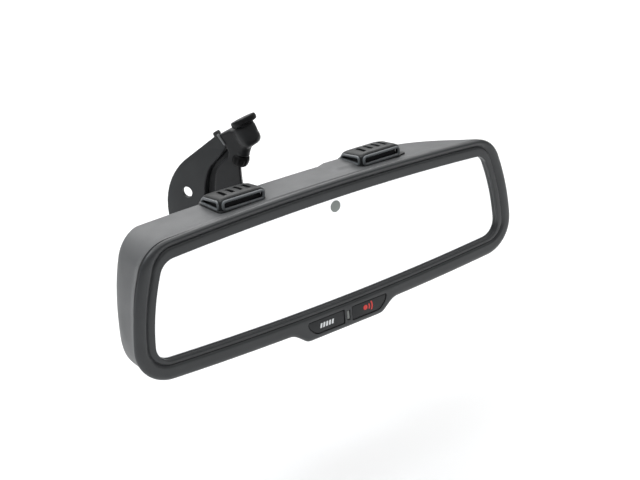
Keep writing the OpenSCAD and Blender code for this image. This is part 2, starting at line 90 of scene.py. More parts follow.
OPEN_W, OPEN_H = 118, 31
TOP_BOW, LOW_BOW = 4.2, 3.9
SIDE_TAPER, SIDE_BULGE = 6.4, 4.0
CORNER = 10
SIDE_BAND, TOP_BAND = 10.9, 9.6
GLASS_Y = 2.9
EYE_R = 3.35
DEPTH = 37
WALL = 2.2
CROWN_Y = 10
CROWN_W, CROWN_H, CROWN_MID = 132, 44, -3
SHADOW_Y = 4.35
MOUTH_R = 14.9

CHIN_X, CHIN_Z, CHIN_R, CHIN_SLOPE = 24.5, -42.6, 6, 0.78
CHIN_MID = 1.4
CAP_IN, CAP_OUT, CAP_TOP, CAP_LOW = 2.9, 28, -36.6, -44.9
CAP_GAP = 0.3

POD_X = (-53.7, 39.7)
POD_Y, POD_W, POD_D, POD_H = 10, 28.6, 23, 7.9
# Height where a pod's walls turn into its roof
POD_WALL = 5.4
WINDOW_HALF, WINDOW_LOW, WINDOW_HIGH = 12.2, 1.7, 5.3
LIP = 0.8

# ---------------------------------------------------------------- mesh helpers


def smooth(a, b, x):
    """0 before a, 1 after b, and an even S between."""
    t = min(1, max(0, (x - a) / (b - a)))
    return t * t * (3 - 2 * t)


def soft_min(a, b, k):
    """The smaller of a and b, with the corner between them rounded over k."""
    h = max(k - abs(a - b), 0) / k
    return min(a, b) - h * h * k / 4


def limited(v, limit, k):
    """v held softly under limit, with a trace of v kept so that no two points ever meet."""
    return soft_min(v, limit, k) + 0.004 * max(0, v - limit)


def make(name, bm, place, angle=32):
    """A finished object from a bmesh in local millimetres."""
    bmesh.ops.remove_doubles(bm, verts=bm.verts, dist=1e-5)
    bmesh.ops.recalc_face_normals(bm, faces=bm.faces)
    mesh = bpy.data.meshes.new(name)
    bm.to_mesh(mesh)
    bm.free()
    mesh.transform(place)
    obj = bpy.data.objects.new(name, mesh)
    bpy.context.scene.collection.objects.link(obj)
    shade(obj, angle)
    return obj


def shade(obj, angle):
    mesh = obj.data
    mesh.polygons.foreach_set("use_smooth", [True] * len(mesh.polygons))
    mesh.set_sharp_from_angle(angle=math.radians(angle))


def bake(obj, angle=32):
    """Applies the object's modifiers to its mesh."""
    graph = bpy.context.evaluated_depsgraph_get()
    mesh = bpy.data.meshes.new_from_object(obj.evaluated_get(graph))
    obj.modifiers.clear()
    old, obj.data = obj.data, mesh
    mesh.name = old.name
    bpy.data.meshes.remove(old)
    shade(obj, angle)
    return obj


def cut(obj, *tools, solver="EXACT"):
    """Takes the tools' shapes out of obj and drops them."""
    for tool in tools:
        m = obj.modifiers.new("cut", "BOOLEAN")
        m.operation = "DIFFERENCE"
        m.solver = solver
        m.object = tool
    bake(obj)
    for tool in tools:
        bpy.data.objects.remove(tool)
    return obj


def bevel(obj, width, angle):
    m = obj.modifiers.new("bevel", "BEVEL")
    m.width = width * MM
    m.segments = 2
    m.limit_method = "ANGLE"
    m.angle_limit = math.radians(angle)
    m.harden_normals = False
    return bake(obj, 30)


def remesh(obj, voxel, rounds):
    """Melts overlapping solids into one casting with soft fillets."""
    m = obj.modifiers.new("melt", "REMESH")
    m.mode = "VOXEL"
    m.voxel_size = voxel * MM
    s = obj.modifiers.new("soften", "SMOOTH")
    s.factor = 0.5
    s.iterations = rounds
    return bake(obj, 60)


def add_loops(bm, loops, closed=False, cap_first=False, cap_last=False):
    """Skins closed loops of equal length, one after the other."""
    rows = [[bm.verts.new(p) for p in loop] for loop in loops]
    n = len(rows[0])
    pairs = list(zip(rows, rows[1:]))
    if closed:
        pairs.append((rows[-1], rows[0]))
    for a, b in pairs:
        for i in range(n):
            j = (i + 1) % n
            bm.faces.new((a[i], a[j], b[j], b[i]))
    if cap_first:
        bm.faces.new(reversed(rows[0]))
    if cap_last:
        bm.faces.new(rows[-1])


def lathe(bm, profile, axis_frame=Matrix.Identity(4), n=64, wobble=None):
    """Turns (radius, height) points about the local z axis. Ends on the axis are closed."""
    loops = []
    for r, h in profile:
        loop = []
        for i in range(n):
            a = 2 * math.pi * i / n
            k = r * (wobble(a, h) if wobble else 1)
            loop.append(axis_frame @ Vector((k * math.cos(a), k * math.sin(a), h)))
        loops.append(loop)
    add_loops(bm, loops, cap_first=True, cap_last=True)


def rounded(points, radius, steps=5):
    """A closed polygon with each corner rounded by an arc-like curve."""
    out = []
    n = len(points)
    for i, p in enumerate(points):
        p = Vector(p)
        a, b = Vector(points[i - 1]) - p, Vector(points[(i + 1) % n]) - p
        r = radius[i] if isinstance(radius, (list, tuple)) else radius
        r = min(r, a.length * 0.45, b.length * 0.45)
        start, end = p + a.normalized() * r, p + b.normalized() * r
        for k in range(steps + 1):
            t = k / steps
            out.append(start * (1 - t) ** 2 + p * 2 * t * (1 - t) + end * t * t)
    return out


def box_outline(left, right, low, high, radius, steps=5):
    """A rectangle with rounded corners."""
    corners = [(left, low), (right, low), (right, high), (left, high)]
    return rounded(corners, radius, steps)


def circle(x, y, r, n):
    turns = [2 * math.pi * i / n for i in range(n)]
    return [Vector((x + r * math.cos(a), y + r * math.sin(a))) for a in turns]


def shrunk(points, d):
    """A closed polygon moved inwards by d along its corner normals."""
    n = len(points)
    area = sum(
        points[i - 1].x * points[i].y - points[i].x * points[i - 1].y for i in range(n)
    )
    side = 1 if area > 0 else -1
    out = []
    for i, p in enumerate(points):
        t = (points[(i + 1) % n] - points[i - 1]).normalized()
        out.append(p + Vector((-t.y, t.x)) * side * d)
    return out


def plate(bm, points, low, high, edge, to3d, steps=4):
    """A plate of an outline, from low to high, with both of its edges rounded by edge."""
    loops = []
    for k in range(steps + 1):
        a = math.pi / 2 * k / steps
        loops.append((edge * (1 - math.sin(a)), low + edge * (1 - math.cos(a))))
    for k in range(steps + 1):
        a = math.pi / 2 * k / steps
        loops.append((edge * (1 - math.cos(a)), high - edge * (1 - math.sin(a))))
    add_loops(
        bm,
        [[to3d(p.x, p.y, h) for p in shrunk(points, d)] for d, h in loops],
        cap_first=True,
        cap_last=True,
    )


def tube(bm, path, radius, up):
    """A closed tube along a closed path that lies across up."""
    n = 14
    loops = []
    m = len(path)
    for i, p in enumerate(path):
        t = (path[(i + 1) % m] - path[i - 1]).normalized()
        side = t.cross(up).normalized()
        lift = side.cross(t).normalized()
        loops.append(
            [
                p
                + side * radius * math.cos(2 * math.pi * k / n)
                + lift * radius * math.sin(2 * math.pi * k / n)
                for k in range(n)
            ]
        )
    add_loops(bm, loops, closed=True)


def facing(x, z, y):
    """Points of an outline in the head's face, y back from it."""
    return Vector((x, y, z))


def outward(x, z, out):
    """Points of an outline in the head's face, out towards the viewer."""
    return Vector((x, -out, z))


def flat(x, y, z):
    """Points of an outline seen from above."""
    return Vector((x, y, z))


def sideways(y, z, x):
    """Points of a side profile."""
    return Vector((x, y, z))


def prism(name, points, low, high, place, to3d=facing):
    bm = bmesh.new()
    loops = [[to3d(p.x, p.y, h) for p in points] for h in (low, high)]
    add_loops(bm, loops, cap_first=True, cap_last=True)
    return make(name, bm, place)


# ---------------------------------------------------------------- outline of the head

CORE_W, CORE_H = OPEN_W - CORNER, OPEN_H - CORNER
# Distance below and above the middle at which the taper and bulge are given
SIDE_AT = 30


def core_top(x):
    return CORE_H - TOP_BOW * (x / OPEN_W) ** 2


def core_low(x):
    return -CORE_H + LOW_BOW * (x / OPEN_W) ** 2


def core_side(z):
    return CORE_W - SIDE_TAPER * z / SIDE_AT - SIDE_BULGE * (z / SIDE_AT) ** 2


def corner_x(curve):
    x = CORE_W
    for _ in range(6):
        x = core_side(curve(x))
    return x


def stations():
    """Points and outward normals round the head, from the middle of the bottom edge."""
    xt, xl = corner_x(core_top), corner_x(core_low)
    zt, zl = core_top(xt), core_low(xl)

    def top(x):
        return Vector((x, core_top(x))), Vector((2 * TOP_BOW * x / OPEN_W**2, 1)).normalized()

    def low(x):
        return Vector((x, core_low(x))), Vector((2 * LOW_BOW * x / OPEN_W**2, -1)).normalized()

    def side(z):
        slope = SIDE_TAPER / SIDE_AT + 2 * SIDE_BULGE * z / SIDE_AT**2
        return Vector((core_side(z), z)), Vector((1, slope)).normalized()

    def arc(p, n1, n2, steps=20):
        a1, a2 = math.atan2(n1.y, n1.x), math.atan2(n2.y, n2.x)
        for i in range(1, steps):
            a = a1 + (a2 - a1) * i / steps
            yield p, Vector((math.cos(a), math.sin(a)))

    half = [low(xl * i / 90) for i in range(91)]
    half += arc(*low(xl), side(zl)[1])
    half += [side(zl + (zt - zl) * i / 24) for i in range(25)]
    half += arc(*side(zt), top(xt)[1])
    half += [top(xt * (1 - i / 60)) for i in range(61)]
    mirrored = [(Vector((-p.x, p.y)), Vector((-n.x, n.y))) for p, n in reversed(half[1:-1])]
    return half + mirrored


STATIONS = stations()


def grown(p, n, g):
    """A station moved outwards by g from the opening, a little less along the top."""
    less = max(0, g) * (1 - TOP_BAND / SIDE_BAND) * max(0, n.y) ** 2
    return p + n * (CORNER + g - less)


def outline(g):
    return [grown(p, n, g) for p, n in STATIONS]


def chin_low(x):
    """The chin's lower edge: flat, then round its corner, then up at a slope."""
    u = abs(x)
    reach = CHIN_R * math.sqrt(0.5)
    if u < CHIN_X:
        return CHIN_Z - CHIN_R
    if u < CHIN_X + reach:
        return CHIN_Z - math.sqrt(CHIN_R**2 - (u - CHIN_X) ** 2)
    return CHIN_Z - reach + (u - CHIN_X - reach) * CHIN_SLOPE


def chin_drop():
    """How far the chin pulls each station of the outer edge down."""
    drops = []
    for (p, n), q in zip(STATIONS, outline(SIDE_BAND)):
        below = soft_min(0, chin_low(q.x) - q.y, 2.5)
        drops.append(below * smooth(0.2, 0.9, -n.y) if abs(q.x) < 60 else 0)
    return drops


DROPS = chin_drop()

# ---------------------------------------------------------------- head shells


def bezel_section(n):
    """(growth from the opening, depth, share of the chin's drop) where the face looks along n.

    From the glass outwards: a steep wall, a flat rim, a groove, then the band that turns back.
    """
    up, down = max(0, n.y) ** 2, max(0, -n.y) ** 2
    groove = 3.4 + 3.0 * up - 1.3 * down
    k = 1 - 0.4 * down
    section = [(-0.5, 2.87), (-0.5, 0.9), (-0.42, 0.6), (-0.15, 0.4), (0.3, 0.33)]
    for dg, y in (
        (-2.0, 0.3), (-1.2, 0.38), (-0.6, 0.65), (-0.2, 1.1), (0, 1.35),
        (0.35, 1.2), (1.0, 0.7), (1.7, 0.3), (2.4, 0.12),
    ):
        section.append((groove + dg * k, y))
    section = [(g, y, 0) for g, y in section]
    start = groove + 2.4 * k
    turn = min(3.7, SIDE_BAND - start - 0.4)
    flat = SIDE_BAND - turn - start
    section += [(start + flat * t, 0.12 - 0.04 * t, t) for t in (0.25, 0.5, 0.75, 1)]
    for i in range(1, 10):
        a = math.pi / 2 * i / 9
        section.append((SIDE_BAND - turn * (1 - math.sin(a)), 0.08 + 2.47 * (1 - math.cos(a)), 1))
    section += [(10.75, 2.72, 1), (9.6, 2.8, 1), (8.0, 2.8, 1), (6.0, 2.8, 0.3)]
    section += [(5.0, 2.85, 0), (0.4, 2.87, 0)]
    return section


def front_bezel():
    bm = bmesh.new()
    strips = []
    for (p, n), drop in zip(STATIONS, DROPS):
        places = [(grown(p, n, g), y, share) for g, y, share in bezel_section(n)]
        strips.append([Vector((q.x, y, q.y + drop * share)) for q, y, share in places])
    add_loops(bm, [list(loop) for loop in zip(*strips)], closed=True)
    obj = make("bezel_frame", bm, HEAD_FRAME)
    through = (-2, 6)
    windows = [
        prism("window", cap_outline(side, CAP_GAP), *through, HEAD_FRAME) for side in (-1, 1)
    ]
    slot_half, slot_low, slot_top = 1.15, -43.7, -37.7
    slot = box_outline(CHIN_MID - slot_half, CHIN_MID + slot_half, slot_low, slot_top, 0.4)
    windows.append(prism("pipe_slot", slot, *through, HEAD_FRAME))
    cut(obj, *windows)
    bevel(obj, 0.22, 50)
    # skirt that steps into the housing
    skirt = [(7.4, 2.7), (7.4, 8.6), (7.1, 9), (3.9, 9), (3.6, 8.6), (3.6, 2.7)]
    bm = bmesh.new()
    add_loops(bm, [[facing(q.x, q.y, y) for q in outline(g)] for g, y in skirt], closed=True)
    return obj, make("bezel_skirt", bm, HEAD_FRAME)


def cap_outline(side, grow=0.0):
    """A button's outline. Its outer end leans in towards the bottom."""
    pts = [
        (CAP_IN - grow, CAP_TOP + grow),
        (CAP_IN - grow, CAP_LOW - grow),
        (CAP_OUT - 5.4 + grow * 0.6, CAP_LOW - grow),
        (CAP_OUT - 1 + grow, CAP_TOP - 4.2),
        (CAP_OUT + grow, CAP_TOP - 1.2),
        (CAP_OUT - 0.6 + grow, CAP_TOP + grow),
    ]
    radii = [0.7, 0.7, 2.4, 2.0, 0.9, 0.9]
    ring = rounded([(CHIN_MID + side * x, z) for x, z in pts], radii, 6)
    return ring if side < 0 else list(reversed(ring))


def half_width(y, inset):
    """The crown's half width, which closes in towards the back."""
    back = DEPTH - CROWN_Y - inset
    t = min(1, max(0, (y - CROWN_Y) / back))
    return (CROWN_W - inset) * (1 - t**3.4) ** (1 / 6)


def half_height(y, inset):
    back = DEPTH - CROWN_Y - inset
    t = min(1, max(0, (y - CROWN_Y) / back))
    return (CROWN_H - inset) * (1 - t**8) ** (1 / 4)


def shoulder(x, y):
    """Height that the deck is held under. Its back edge curves forward to the right corner."""
    edge = 34 * (1 - ((x - 50) / 61) ** 2) if x > 50 else 40
    past = (y - max(2, edge)) * smooth(4, 14, y)
    return 38.3 - 0.55 * max(past, -8)


def housing_loop(y, inset):
    # a shadow groove runs round the housing where it meets the bezel
    step = 1.5 if y < SHADOW_Y else 0.35 + 0.7 * smooth(4.4, 9, y)
    keep = 1 - 0.4 * smooth(14, 34, y)
    wide, tall = half_width(y, inset), half_height(y, inset)
    loop = []
    for q, d in zip(outline(SIDE_BAND - step - inset), DROPS):
        x, z = q.x, q.y + d * keep
        # the ends close in above and below the middle
        ends = wide - 4 * (abs(z - CROWN_MID) / 41) ** 3 * smooth(10, 26, y)
        x = math.copysign(limited(abs(x), ends, min(8, abs(x))), x) if abs(x) > 1 else x
        z = CROWN_MID + math.copysign(limited(abs(z - CROWN_MID), tall, 2), z - CROWN_MID)
        if z > 0:
            z = soft_min(z, shoulder(x, y) - inset * 0.9, 2.5)
            # a step raises the deck on the left of the right pod
            raised = smooth(11.8, 12.4, x) * (1 - smooth(52, 62, x)) * smooth(13, 17, y)
            z += 1.1 * raised * smooth(36, 38.5, z + inset) * (1 - smooth(30, 34, y))
        loop.append(Vector((x, y, z)))
    return loop


def housing_levels(inset):
    back = DEPTH - CROWN_Y - inset
    levels = [3.2, 3.4, 4.3, 4.4, 4.6, 5.2, 6.4, 7.6, 8.8]
    levels += [CROWN_Y + back * math.sin(math.pi / 2 * i / 48) ** (1 / 1.2) for i in range(48)]
    levels += [CROWN_Y + back * 0.9995, CROWN_Y + back * 0.99999]
    return levels


def rear_housing():
    bm = bmesh.new()
    inner = [housing_loop(y, WALL) for y in reversed(housing_levels(WALL))]
    outer = [housing_loop(y, 0) for y in housing_levels(0)]
    lip = [(a * 0.06 + b * 0.94) + Vector((0, -0.1, 0)) for a, b in zip(inner[-1], outer[0])]
    add_loops(bm, inner + [lip] + outer, cap_first=True, cap_last=True)
    obj = make("housing_shell", bm, HEAD_FRAME)
    hx, hz, hw, hh = -40, -10, 10.1, 5.6
    openings = {
        "mouth": circle(0, 0, MOUTH_R, 96),
        "eye": circle(34, 16, 3.7, 48),
        "plug": box_outline(hx - hw, hx + hw, hz - hh, hz + hh, 0.5),
    }
    tools = [prism(name, ring, 30, 45, HEAD_FRAME) for name, ring in openings.items()]
    cut(obj, *tools, solver="MANIFOLD")
    return bevel(obj, 0.3, 52)


# ---------------------------------------------------------------- microphone pods


def deck(x):
    return OPEN_H + (SIDE_BAND - 1) * TOP_BAND / SIDE_BAND - TOP_BOW * (x / OPEN_W) ** 2


def pod_loop(z, wide, front, back, corner):
    """A rectangle in plan with tight corners in front and broad ones at the back."""
    corners = [(-wide, front), (wide, front), (wide, back), (-wide, back)]
    radii = [corner, corner, corner + 1.5, corner + 1.5]
    return [Vector((p.x, p.y, z)) for p in rounded(corners, radii, 8)]


def pod_loops(inset, low=0.0):
    """Rings of a pod from its base up over its shoulders to a roof that falls to the back."""
    w, h = POD_W / 2 - inset, POD_H - inset
    loops = []
    for z in (low, 1.0, 2.2, 3.4, 4.6, POD_WALL):
        back = POD_D - inset - max(0, z - 1.6) * 0.6
        loops.append(pod_loop(z, w, inset, back, 3.0 - inset * 0.5))
    for i in range(1, 9):
        a = math.pi / 2 * i / 8
        z = POD_WALL + (h - POD_WALL) * math.sin(a)
        pull = 1 - math.cos(a)
        back = POD_D - inset - 2.28 - 7.4 * pull
        loops.append(pod_loop(z, w - 3.6 * pull, inset + 1.9 * pull, back, 3.0))
    roof = loops[-1]
    mid = Vector((0, 0.5 * (roof[12].y + roof[-1].y), h))
    for k in (0.8, 0.5, 0.2):
        loops.append([mid + (p - mid) * k + Vector((0, 0, 0.3 * (1 - k * k))) for p in roof])
    # everything falls to the back and a little to both sides
    for p in (p for loop in loops for p in loop):
        fall = 1 - 0.007 * max(0, p.y) - 0.0006 * max(0, p.y - 6) ** 2
        p.z *= fall * (1 - 0.07 * (p.x / w) ** 2)
    return loops


def pod(name, x):
    place = HEAD_FRAME @ Matrix.Translation((x, POD_Y, deck(abs(x) + POD_W / 2) + 0.1))
    front = box_outline(-WINDOW_HALF, WINDOW_HALF, WINDOW_LOW, WINDOW_HIGH, 1.3, 6)
    end = rounded([(2.8, 1.5), (18.8, 1.5), (17.2, 3.7), (2.8, 5.0)], 1.2, 6)
    bm = bmesh.new()
    add_loops(bm, pod_loops(0), cap_first=True, cap_last=True)
    shell = make(name, bm, place)
    bm = bmesh.new()
    add_loops(bm, pod_loops(1.5, -1), cap_first=True, cap_last=True)
    tools = [make("hollow", bm, place)]
    tools.append(prism("front", front, -3, 4, place))
    for s in (-1, 1):
        lo, hi = sorted((s * (POD_W / 2 - 4), s * (POD_W / 2 + 3)))
        tools.append(prism("end", end, lo, hi, place, sideways))
    for i in range(4):
        cx, cy, lean = -8.0 + i * 5.1, 8.4, 0.3
        slot = rounded(
            [
                (cx - 1.1 - lean, cy - 4.5),
                (cx + 1.1 - lean, cy - 4.5),
                (cx + 1.1 + lean, cy + 4.5),
                (cx - 1.1 + lean, cy + 4.5),
            ],
            0.5,
            4,
        )
        tools.append(prism("slot", slot, POD_H - 3, POD_H + 3, place, flat))
    cut(shell, *tools)
    bevel(shell, 0.25, 45)
    # raised lips round the three windows
    bm = bmesh.new()
    ring = [Vector((p.x, 0.0, p.y)) for p in shrunk(front, -LIP * 0.5)]
    tube(bm, ring, LIP, Vector((0, 1, 0)))
    for s in (-1, 1):
        ring = [Vector((s * (POD_W / 2 - 0.05), p.x, p.y)) for p in shrunk(end, -LIP * 0.5)]
        tube(bm, ring, LIP, Vector((1, 0, 0)))
    lips = make(name + "_lips", bm, place)
    # flange that meets the deck, with a tab at the front right
    bm = bmesh.new()
    skirt = box_outline(-POD_W / 2 - 0.9, POD_W / 2 + 0.9, -0.8, POD_D + 0.4, 4, 8)
    plate(bm, skirt, -1.0, 0.85, 0.4, flat)
    tab = rounded([(13, 0.4), (18.4, 1.0), (18.4, 4.4), (13, 5.4)], 1.2, 5)
    plate(bm, tab, -1.0, 0.75, 0.35, flat)
    flange = make(name + "_flange", bm, place)
    bm = bmesh.new()
    add_loops(bm, pod_loops(1.75, 0.2), cap_first=True, cap_last=True)
    cloth = make(name.replace("cover", "cloth"), bm, place)
    return shell, lips, flange, cloth


# ---------------------------------------------------------------- buttons and glass details


def button(name, side):
    shape = cap_outline(side)
    bm = bmesh.new()
    steps = [(0, 2.1), (0, 1.0), (0.03, 0.72), (0.12, 0.52), (0.28, 0.4), (0.5, 0.34)]
    loops = [[facing(p.x, p.y, y) for p in shrunk(shape, d)] for d, y in steps]
    add_loops(bm, loops, cap_first=True, cap_last=True)
    return make(name, bm, HEAD_FRAME, 40)


def flat_mark(bm, shapes, y):
    """Thin printed shapes on a button's face."""
    for shape in shapes:
        plate(bm, shape, -y, -y + 0.05, 0.01, outward, 1)


def slanted_bars():
    """A row of five slanted bars, centred on the left button."""
    cx, cz = CHIN_MID - 15.2, (CAP_TOP + CAP_LOW) / 2 + 0.1
    low, high = cz - 1.4, cz + 1.4
    shapes = []
    for i in range(5):
        x = cx + (i - 2) * 2.0
        bar = [(x - 0.95, low), (x + 0.35, low), (x + 0.95, high), (x - 0.35, high)]
        shapes.append(rounded(bar, 0.3, 3))
    return shapes


def signal_mark():
    """A dot with two arcs beside it, centred on the right button."""
    cx, cz = CHIN_MID + 12.4, (CAP_TOP + CAP_LOW) / 2 + 0.5
    span = math.radians(33)
    angles = [-span + 2 * span * i / 14 for i in range(15)]

    def arc(r, turns):
        return [Vector((cx + r * math.cos(a), cz + r * math.sin(a))) for a in turns]

    shapes = [circle(cx, cz, 1.5, 32)]
    for r in (2.9, 4.9):
        shapes.append(arc(r + 0.45, angles) + arc(r - 0.45, reversed(angles)))
    return shapes


def light_bar():
    bm = bmesh.new()
    w, low, top = 0.85, -43.3, -38.1
    ring = box_outline(CHIN_MID - w, CHIN_MID + w, low, top, 0.5)
    plate(bm, ring, -6.0, -0.35, 0.25, outward)
    return make("light_bar", bm, HEAD_FRAME)


def sensor_eye():
    low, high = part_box("glare_sensor")
    cx, cz = (low.x + high.x) / 2, high.z - EYE_R * MM
    at = Matrix.Translation((cx, HEAD.y + GLASS_Y * MM, cz))
    place = at @ Matrix.Rotation(math.pi / 2, 4, "X") @ Matrix.Scale(MM, 4)
    bm = bmesh.new()
    dome = [(EYE_R, -0.3), (EYE_R, 0.02), (3.25, 0.06), (2.95, 0.07)]
    for i in range(8):
        a = math.pi / 2 * i / 8
        dome.append((2.85 * math.cos(a), 0.05 + 0.16 * math.sin(a)))
    lathe(bm, dome, n=72)
    return make("sensor_eye", bm, place)


# ---------------------------------------------------------------- arm


def spline(points):
    """An open smooth curve through the points."""
    steps = 6
    pts = [Vector(p) for p in points]
    pts = [2 * pts[0] - pts[1]] + pts + [2 * pts[-1] - pts[-2]]
    out = []
    for i in range(1, len(pts) - 2):
        a, b, c, d = pts[i - 1 : i + 3]
        for k in range(steps):
            t = k / steps
            out.append(
                0.5 * ((2 * b) + (c - a) * t + (2 * a - 5 * b + 4 * c - d) * t * t
                       + (3 * b - a - 3 * c + d) * t**3)
            )
    return out + [pts[-2]]


POST_FRONT = [(30.5, 47), (32.2, 38), (32.2, 27), (30.5, 16), (27, 8)]
GROOVE_RIGHT = [(40.3, 44), (45.1, 40.4), (48.9, 35.2), (50.6, 28.8), (51.5, 21.8), (51.3, 11.8)]
GROOVE_LEFT = [
    (41.6, 49.5), (46.6, 43.3), (53.9, 36), (57.6, 28.2),
    (59.3, 21), (59.4, 12), (58.6, 2), (60, -9),
]
WING_ARC, WING_R = Vector((47, 7)), 40.5
WING_HOLE, HOLE_R = Vector((71.7, 19.4)), 3.4
DRUM = Matrix.Translation((0, 27.1, 55.5)) @ Matrix.Rotation(math.radians(-32), 4, "X")
BOSS = Matrix.Translation((0, 30.5, 49.5)) @ Matrix.Rotation(math.radians(26), 4, "X")


def mount_arm():
    bm = bmesh.new()
    # collar that takes the foot, and the drum under it
    collar = [(3.6, -14.0), (4.6, -12.0), (5.0, -9.0), (5.0, -5.4), (4.6, -4.85), (3.5, -4.75)]
    lathe(bm, collar, ARM_FROM_FOOT)
    drum = [(2.6, -5.3), (4.2, -5.0), (5.4, -4.2), (6.2, -3.0), (6.6, -1.4), (6.7, 0.6)]
    drum += [(6.6, 3.2), (6.3, 5.6), (5.5, 7.4), (4.2, 8.4), (2.0, 8.8)]
    lathe(bm, drum, DRUM)
    # post and neck, whose front edge runs back towards the right
    profile = [(24, 6), (24, -6), (44, -6), (48, -3.4), (50.6, 5)]
    profile += list(reversed([tuple(p) for p in spline(GROOVE_RIGHT)]))
    profile += [(39.4, 47), (41, 50.6), (45.0, 57.0), (37, 60.4), (26, 60), (27, 52)]
    profile += [tuple(p) for p in spline(POST_FRONT)]
    points = [Vector(p) for p in profile]

    def skewed(y, z, x):
        share = (1 - smooth(30, 42, y)) * smooth(4, 12, z)
        return Vector((x, y + 0.5 * (x + 4) * share, z))

    plate(bm, points, -4, 4, 1.3, skewed)
    # block that holds the ball's stem
    lie = Matrix.Rotation(-math.pi / 2, 4, "X")
    lathe(bm, [(4.6, 17), (5.8, 17.3), (6.5, 18.4), (6.5, 34), (5.2, 37), (3, 38)], lie)
    # shoulder above the screw boss, and the small tab beside it
    lathe(bm, [(3.0, -4.6), (4.1, -4.3), (4.4, -3.6), (4.1, -2.6), (3.9, 0), (3.9, 4)], BOSS)
    tab = rounded([(40.6, 42.8), (43.9, 39.6), (42.6, 38.2), (39.0, 41.2)], 0.6)
    plate(bm, tab, -3.4, -0.6, 0.4, sideways)
    obj = make("arm_casting", bm, ARM_FRAME)
    remesh(obj, 0.42, 5)
    return obj


def screw_boss():
    """Fluted collar under the drum, with the clamping screw's socket in it."""
    flute = lambda a, h: 1 - (0.07 * (0.5 + 0.5 * math.cos(12 * a)) if -10.6 < h < -5.6 else 0)
    profile = [(0.9, -8.0), (1.15, -10.8), (2.1, -10.9), (2.3, -11.3), (3.4, -11.5), (4.2, -11.2)]
    profile += [(4.8, -10.6), (5.2, -9.6), (5.35, -8.2), (5.3, -6.6), (4.9, -5.5)]
    profile += [(4.2, -4.9), (3.6, -4.7)]
    bm = bmesh.new()
    lathe(bm, profile, BOSS, 144, flute)
    return make("screw_boss", bm, ARM_FRAME, 50)


def wing_edge():
    """The wing's outline, from the collar round the outer arc and back up the groove."""
    pts = [Vector((41.8, 49.9)), Vector((45.6, 56.2)), Vector((49.4, 54.9))]
    for i in range(25):
        a = math.radians(53.3) * (1 - i / 24)
        pts.append(WING_ARC + WING_R * Vector((math.cos(a), math.sin(a))))
    for i in range(1, 9):
        a = -math.pi / 2 * i / 8
        pts.append(Vector((79.5, -1)) + 8 * Vector((math.cos(a), math.sin(a))))
    return pts + list(reversed(spline(GROOVE_LEFT)))[:-1]


def cable_wing():
    bm = bmesh.new()
    plate(bm, wing_edge(), -1.2, 1.2, 0.9, sideways)
    left, right = spline(GROOVE_LEFT), [p + Vector((1.9, 0.6)) for p in spline(GROOVE_LEFT)]
    plate(bm, left + list(reversed(right)), -0.6, 5.7, 0.5, sideways)
    tab = [Vector(p) for p in ((44, -3), (60, -9))] + list(reversed(spline(GROOVE_LEFT)))[6:]
    tab += [Vector(p) for p in ((43, 42), (38, 30), (38, 2))]
    plate(bm, tab, 4.15, 5.7, 0.3, sideways)
    lug = rounded([(45.9, 56.0), (47.3, 58.6), (50.0, 57.2), (49.0, 54.4)], 0.7)
    plate(bm, lug, -2.2, 2.2, 0.6, sideways)
    obj = make("wing_shell", bm, ARM_FRAME)
    turns = [2 * math.pi * i / 48 for i in range(48)]
    ring = [WING_HOLE + HOLE_R * Vector((math.cos(a), math.sin(a))) for a in turns]
    remesh(obj, 0.42, 4)
    cut(obj, prism("hole", ring, -8, 8, ARM_FRAME, sideways))
    # the outer rim curls to one side
    to_arm = ARM_FRAME.inverted()
    for v in obj.data.vertices:
        p = to_arm @ v.co
        rim = WING_R - (Vector((p.y, p.z)) - WING_ARC).length
        if p.z > WING_ARC.y - 8 and p.y > WING_ARC.x - 6 and rim < 9:
            p.x += 0.8 * (1 - max(rim, 0) / 9) ** 2
            v.co = ARM_FRAME @ p
    return obj


def collar_rib():
    """The raised line where the wing's collar ends on the neck. Its lighter plastic is a painted highlight."""
    bm = bmesh.new()
    rib = rounded([(44.5, 58.0), (40.3, 51.7), (41.1, 51.2), (45.3, 57.5)], 0.3, 3)
    plate(bm, rib, -4.9, -3.4, 0.25, sideways)
    return make("collar_rib", bm, ARM_FRAME)


def foot():
    bm = bmesh.new()
    profile = [(6.9, 0), (7.4, -0.2), (7.65, -0.7), (7.7, -1.3), (7.7, -2.3), (7.6, -3.0)]
    profile += [(7.2, -3.5), (6.6, -3.7), (5.0, -3.75), (4.8, -3.9), (4.8, -6.2)]
    lathe(bm, list(reversed(profile)), n=72)
    return make("foot_disc", bm, FOOT_FRAME)


# ---------------------------------------------------------------- materials


def shader(name, rgb, rough, metal=0.0, coat=0.0, spec=0.5):
    m = bpy.data.materials.new(name)
    m.use_nodes = True
    s = m.node_tree.nodes["Principled BSDF"]
    s.inputs["Base Color"].default_value = (*rgb, 1)
    s.inputs["Roughness"].default_value = rough
    s.inputs["Metallic"].default_value = metal
    s.inputs["Coat Weight"].default_value = coat
    s.inputs["Specular IOR Level"].default_value = spec
    return m, m.node_tree, s


def noise(tree, scale, detail, stretch=None):
    coords = tree.nodes.new("ShaderNodeTexCoord")
    n = tree.nodes.new("ShaderNodeTexNoise")
    n.inputs["Scale"].default_value = scale
    n.inputs["Detail"].default_value = detail
    source = coords.outputs["Object"]
    if stretch:
        m = tree.nodes.new("ShaderNodeMapping")
        m.inputs["Scale"].default_value = stretch
        tree.links.new(source, m.inputs["Vector"])
        source = m.outputs["Vector"]
    tree.links.new(source, n.inputs["Vector"])
    return n.outputs["Fac"]


def spread(tree, fac, low, high):
    """Maps a noise onto a range of values."""
    r = tree.nodes.new("ShaderNodeMapRange")
    r.inputs["From Min"].default_value = 0.3
    r.inputs["From Max"].default_value = 0.7
    r.inputs["To Min"].default_value = low
    r.inputs["To Max"].default_value = high
    tree.links.new(fac, r.inputs["Value"])
    return r.outputs["Result"]


